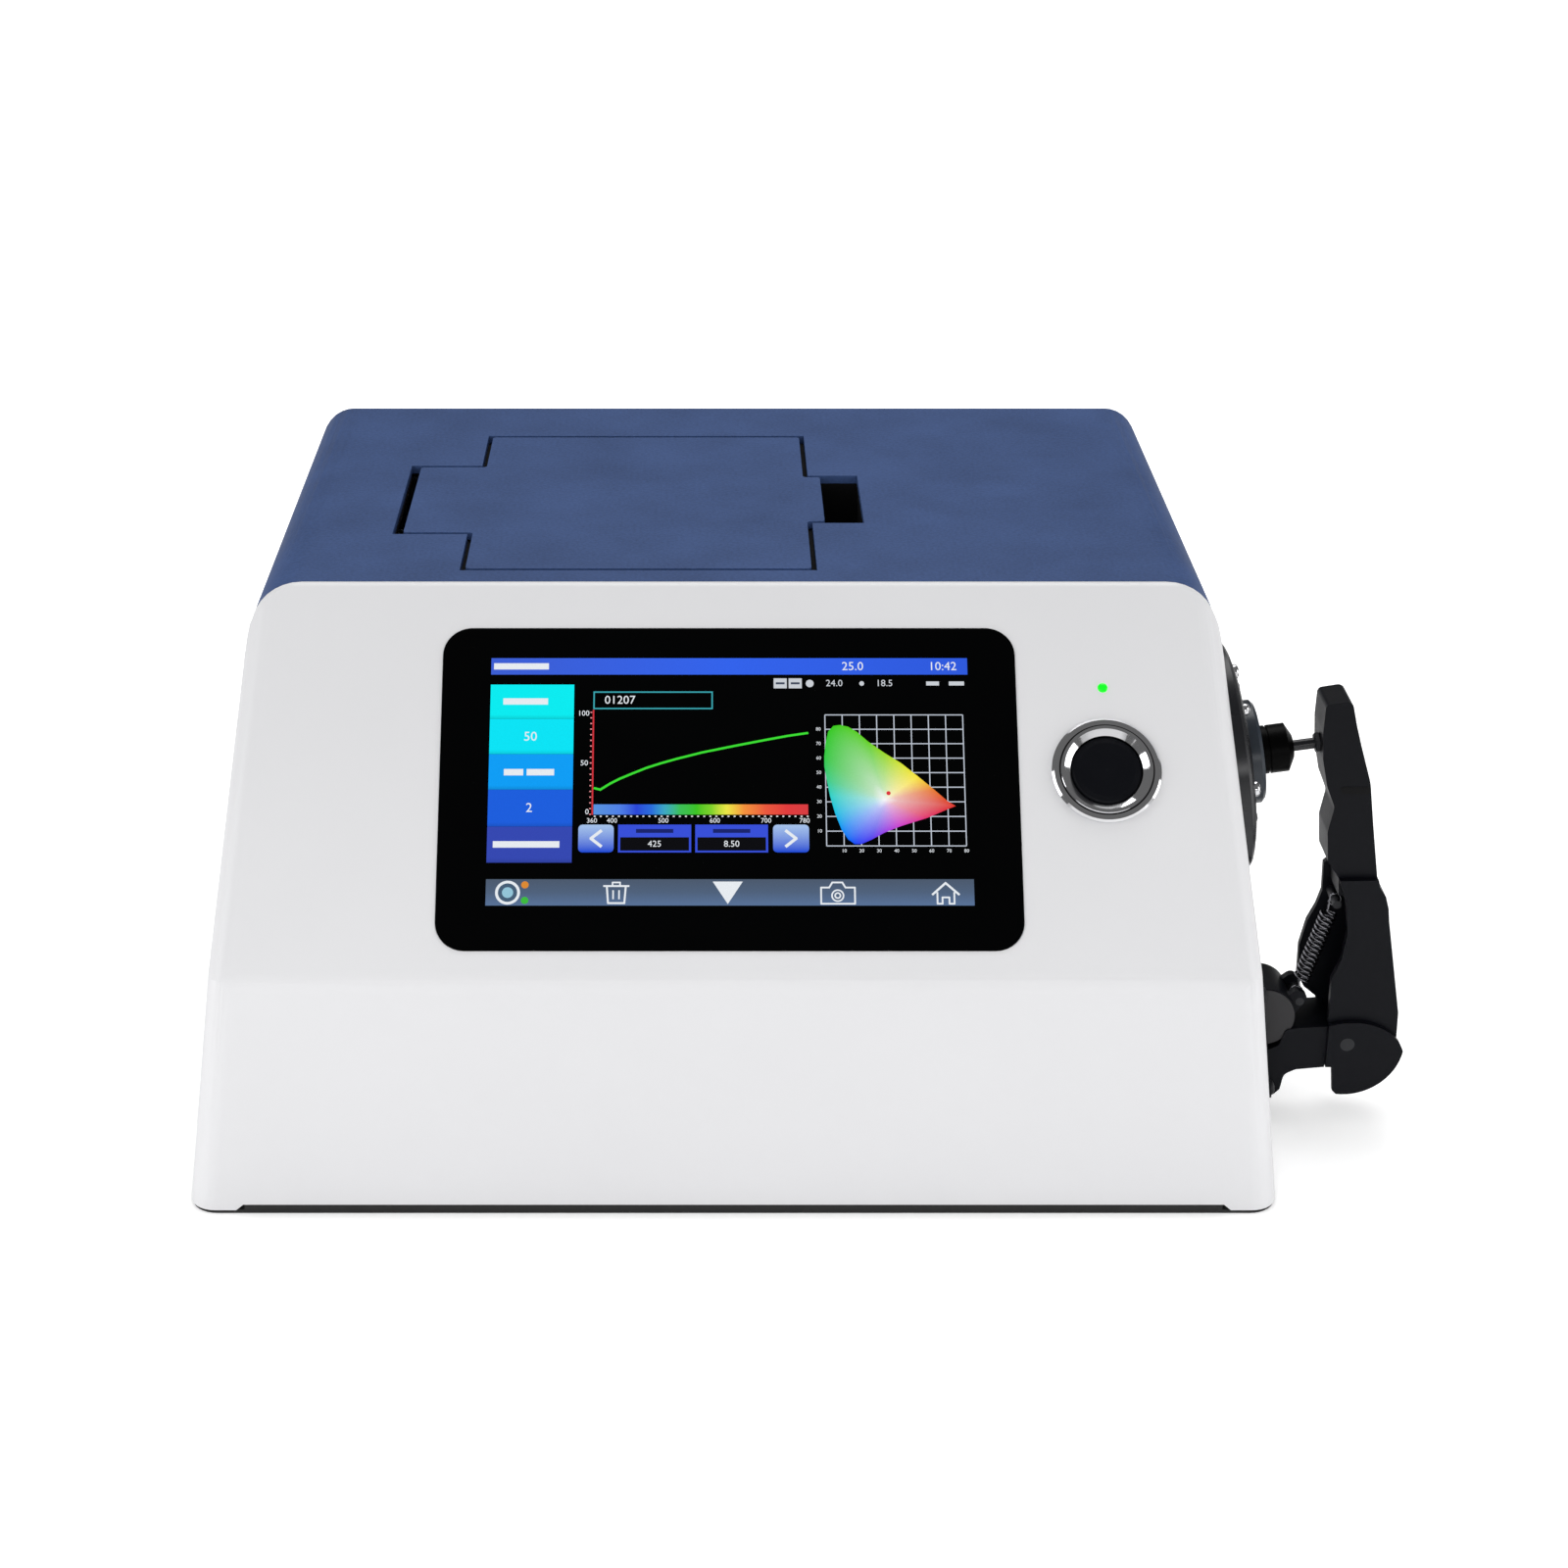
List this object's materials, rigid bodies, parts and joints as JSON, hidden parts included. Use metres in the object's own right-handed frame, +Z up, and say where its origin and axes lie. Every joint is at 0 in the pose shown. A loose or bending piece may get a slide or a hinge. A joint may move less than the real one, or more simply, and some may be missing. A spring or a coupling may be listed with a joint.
{
  "type": "benchtop colorimeter",
  "caption": "Benchtop colorimeter with a sloping display, a cross-shaped hinged sample lid, a side measuring port and a sprung sample clamp.",
  "frame": {"origin": "centre of the base footprint, on the table", "axes": "+X to the right as seen from the front, where the port and clamp are; +Y to the rear; +Z up"},
  "size_m": [0.4238, 0.3025, 0.2015],
  "materials": {
    "white_case": "fine satin moulding",
    "blue_paint": "fine textured paint",
    "grey_metal": "brushed",
    "dark_metal": "matt",
    "rubber": "matt",
    "rubber_pad": "satin",
    "steel": "plated",
    "spring_steel": "drawn wire",
    "chrome": "polished",
    "black_glass": "glossy",
    "clear_glass": "polished",
    "green_lens": "lit",
    "circuit": "solder mask",
    "black_plastic": "satin",
    "black_anodised": "anodised",
    "matt_black": "light-absorbing matt",
    "white_coating": "diffuse coating"
  },
  "bodies": {
    "case": {"housing": "white_case", "top_cover": "blue_paint", "rear_panel": "grey_metal", "base_plate": "dark_metal", "rubber_feet": "rubber", "base_screws": "steel", "rear_screws": "steel", "cover_screws": "steel", "side_screw": "chrome", "display_glass": "black_glass", "display_module": "dark_metal", "display_frame": "steel", "display_board": "circuit", "lamp_lens": "green_lens", "button_bezel": "chrome", "button_nut": "steel", "switch_body": "black_plastic", "port_flange": "black_anodised", "port_ring": "black_anodised", "port_screws": "chrome", "sphere_front": "white_coating", "sphere_back": "white_coating", "sphere_lamp": "black_anodised", "optics_stand": "grey_metal", "spectrometer": "black_anodised", "liner_flange": "matt_black", "chamber_liner": "matt_black", "finger_pocket": "matt_black", "light_barrel": "black_anodised", "light_lens": "clear_glass", "lamp_box": "grey_metal", "sensor_barrel": "black_anodised", "sensor_box": "dark_metal", "cell_holder": "matt_black", "main_board": "circuit", "power_board": "circuit", "power_inlet": "black_plastic", "usb_port": "steel", "serial_port": "steel", "rocker_frame": "black_plastic", "hinge_pin": "steel", "hinge_bracket": "grey_metal", "clamp_bracket": "black_plastic", "clamp_hood": "black_plastic", "clamp_screws": "dark_metal", "clamp_pin": "dark_metal", "clamp_spring": "spring_steel", "spring_pin_low": "dark_metal"},
    "lid": {"lid_plate": "blue_paint", "lid_hinge_lugs": "dark_metal", "lid_baffle": "matt_black"},
    "button": {"button_cap": "black_plastic"},
    "clamp": {"clamp_arm": "black_plastic", "spring_pin_high": "dark_metal", "pad_rod": "black_anodised", "sample_pad": "rubber_pad"},
    "rocker": {"power_rocker": "black_plastic"}
  },
  "joints": [
    {"name": "lid_hinge", "type": "hinge", "parent": "case", "child": "lid", "pos_m": [-0.1104, 0.019, 0.1955], "axis": [0, -1, 0], "range_deg": [0, 95]},
    {"name": "button_press", "type": "slide", "parent": "case", "child": "button", "axis": [0, 0.7278, -0.6858], "range_m": [0, 0.0015], "stiffness_N_per_m": 800, "springref_m": -0.002},
    {"name": "clamp_pivot", "type": "hinge", "parent": "case", "child": "clamp", "pos_m": [0.216, -0.066, 0.033], "axis": [0, 1, 0], "range_deg": [0, 30], "stiffness_Nm_per_rad": 0.8, "springref_deg": -34.38, "deforming": ["clamp_spring"]},
    {"name": "rocker_tilt", "type": "hinge", "parent": "case", "child": "rocker", "pos_m": [0.104, 0.1325, 0.064], "axis": [1, 0, 0], "range_deg": [0, 14]}
  ]
}
